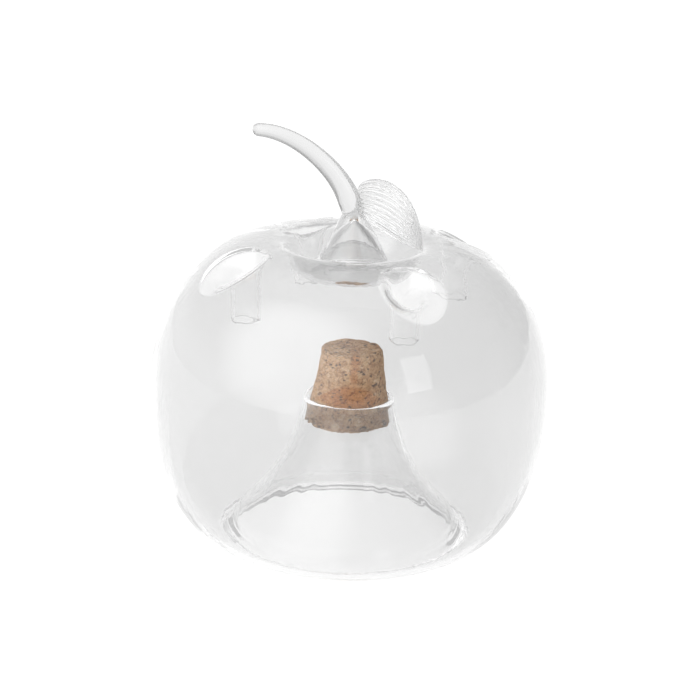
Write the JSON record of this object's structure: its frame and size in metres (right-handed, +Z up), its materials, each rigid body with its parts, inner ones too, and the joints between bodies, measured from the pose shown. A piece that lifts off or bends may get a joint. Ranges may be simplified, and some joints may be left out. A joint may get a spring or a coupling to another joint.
{
  "type": "wasp trap",
  "caption": "Clear blown glass wasp trap shaped like an apple: entry funnels in the shoulder, a bait moat round a bell base, a curved stem, a leaf and a cork pushed in from below.",
  "frame": {"origin": "on the apple's axis, on the plane of the contact ring that it stands on", "axes": "+Z up along the apple's axis; -Y is the front; the stem bends towards -X and the leaf lies towards +X"},
  "size_m": [0.1256, 0.1256, 0.1343],
  "materials": {
    "blown_glass": "clear, thin, hand blown",
    "solid_glass": "clear, solid, fire polished",
    "cork": "pressed cork granules, matt"
  },
  "bodies": {
    "vessel": {"apple_body": "blown_glass", "base_funnel": "blown_glass", "neck_rim": "blown_glass", "entry_funnel_front_right": "blown_glass", "entry_funnel_rear_right": "blown_glass", "entry_funnel_rear_left": "blown_glass", "entry_funnel_front_left": "blown_glass", "stem": "solid_glass", "leaf": "solid_glass"},
    "cork": {"cork_stopper": "cork"}
  },
  "joints": [
    {"name": "cork_pull", "type": "slide", "parent": "vessel", "child": "cork", "axis": [0, 0, -1], "range_m": [0, 0.068]}
  ]
}
